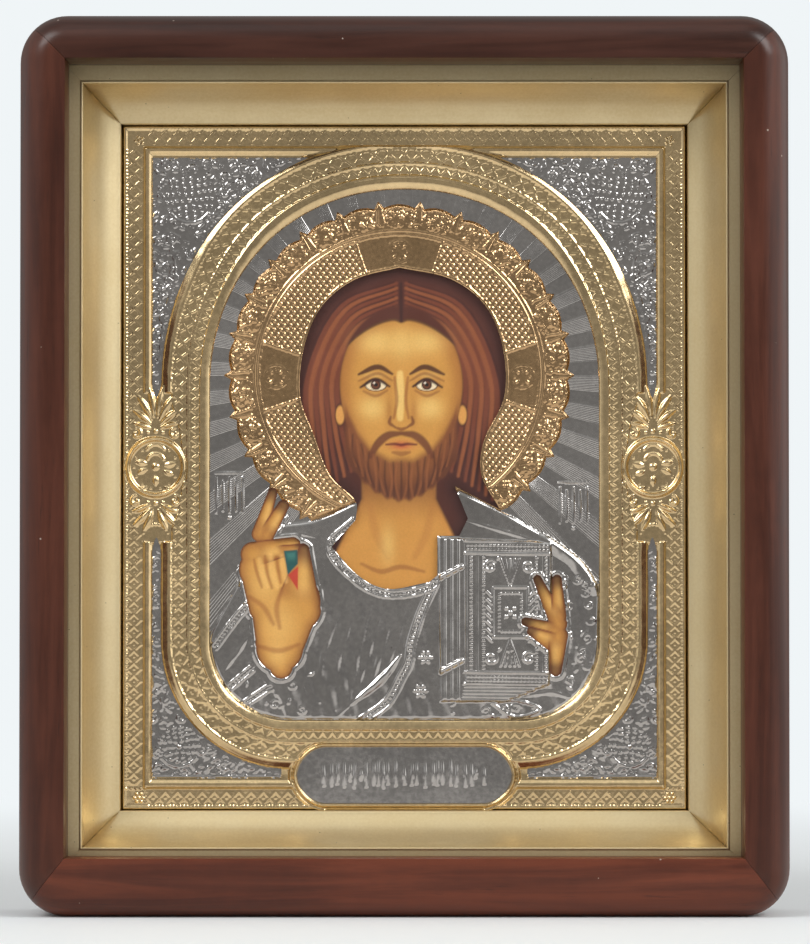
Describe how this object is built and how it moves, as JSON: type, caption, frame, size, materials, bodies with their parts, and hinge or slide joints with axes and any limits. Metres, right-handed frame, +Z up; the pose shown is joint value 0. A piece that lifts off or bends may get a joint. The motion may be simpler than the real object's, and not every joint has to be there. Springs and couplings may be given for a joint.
{
  "type": "icon panel in a wooden case",
  "caption": "Painted icon board under a pressed silver-tone cover and a gold-tone arched border, framed by a gilt cove moulding in a round-cornered wooden case.",
  "frame": {"origin": "under the middle of the case, on the surface it stands on", "axes": "+Z up, the picture faces -Y, +X to the viewer's right"},
  "size_m": [0.193, 0.038, 0.226],
  "materials": {
    "lacquered_wood": "dark red-brown stain under satin lacquer",
    "gilt_moulding": "satin gilt paint on wood",
    "silver_sheet": "polished pressed sheet, warm gold tint on the halo",
    "gold_sheet": "polished pressed sheet, gold tone",
    "painted_board": "satin varnished painting",
    "back_board": "plain hardboard"
  },
  "bodies": {
    "root": {"case_rail_top": "lacquered_wood", "case_rail_bottom": "lacquered_wood", "case_rail_left": "lacquered_wood", "case_rail_right": "lacquered_wood", "gilt_moulding_top": "gilt_moulding", "gilt_moulding_bottom": "gilt_moulding", "gilt_moulding_left": "gilt_moulding", "gilt_moulding_right": "gilt_moulding", "silver_cover": "silver_sheet", "gilt_border": "gold_sheet", "icon_board": "painted_board", "back_panel": "back_board"}
  },
  "joints": []
}
